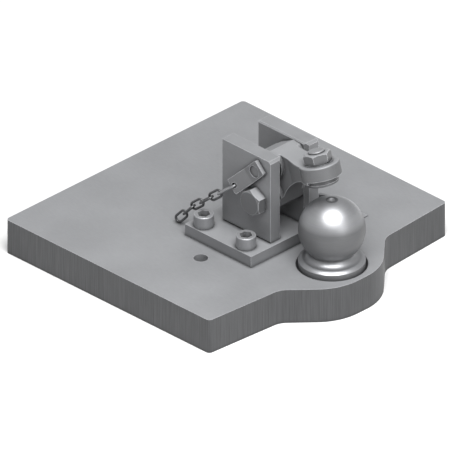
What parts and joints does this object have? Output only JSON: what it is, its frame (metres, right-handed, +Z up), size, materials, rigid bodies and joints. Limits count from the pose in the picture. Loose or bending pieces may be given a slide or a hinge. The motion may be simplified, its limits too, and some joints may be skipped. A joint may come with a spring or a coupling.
{
  "type": "trailer coupling",
  "caption": "Drawbar plate with a forged tow ball and a hinged hold-down arm over it, locked by a chained pin: holds a trailer's ball socket on the ball.",
  "frame": {"origin": "the centre of the tow ball", "axes": "+X points forward to the plate's rounded nose, +Y across the plate away from the pin's handle, +Z up along the ball's axis"},
  "size_m": [0.395, 0.395, 0.1882],
  "materials": {
    "plate_steel": "satin",
    "ball_steel": "polished",
    "screw_steel": "satin",
    "turned_steel": "satin",
    "forged_steel": "matte",
    "chain_steel": "satin",
    "plate_metal": "satin"
  },
  "bodies": {
    "frame": {"drawbar_plate": "plate_steel", "tow_ball": "ball_steel", "bracket_base": "plate_steel", "cap_screw_rear_left": "screw_steel", "cap_screw_rear_right": "screw_steel", "cap_screw_front_left": "screw_steel", "cap_screw_front_right": "screw_steel", "left_cheek": "plate_steel", "right_cheek": "plate_steel", "pivot_bolt": "screw_steel", "pivot_sleeve": "turned_steel", "pivot_washer": "screw_steel", "pivot_nut": "screw_steel", "type_plate": "plate_metal", "type_plate_rivets": "plate_metal"},
    "arm": {"hold_down_arm": "forged_steel", "hold_down_pad": "turned_steel", "pad_spacer": "turned_steel", "pad_washer": "screw_steel", "pad_nut": "screw_steel"},
    "pin": {"lock_pin": "turned_steel", "pin_handle": "plate_steel", "chain_link_1": "chain_steel", "chain_link_2": "chain_steel", "chain_link_3": "chain_steel", "chain_link_4": "chain_steel", "chain_link_5": "chain_steel", "chain_link_6": "chain_steel"}
  },
  "joints": [
    {"name": "arm_swing", "type": "hinge", "parent": "frame", "child": "arm", "pos_m": [-0.088, 0.003, 0.0185], "axis": [0, -1, 0], "range_deg": [0, 2.2]},
    {"name": "lock_pin_pull", "type": "slide", "parent": "frame", "child": "pin", "axis": [0, -1, 0], "range_m": [0, 0.085]}
  ]
}
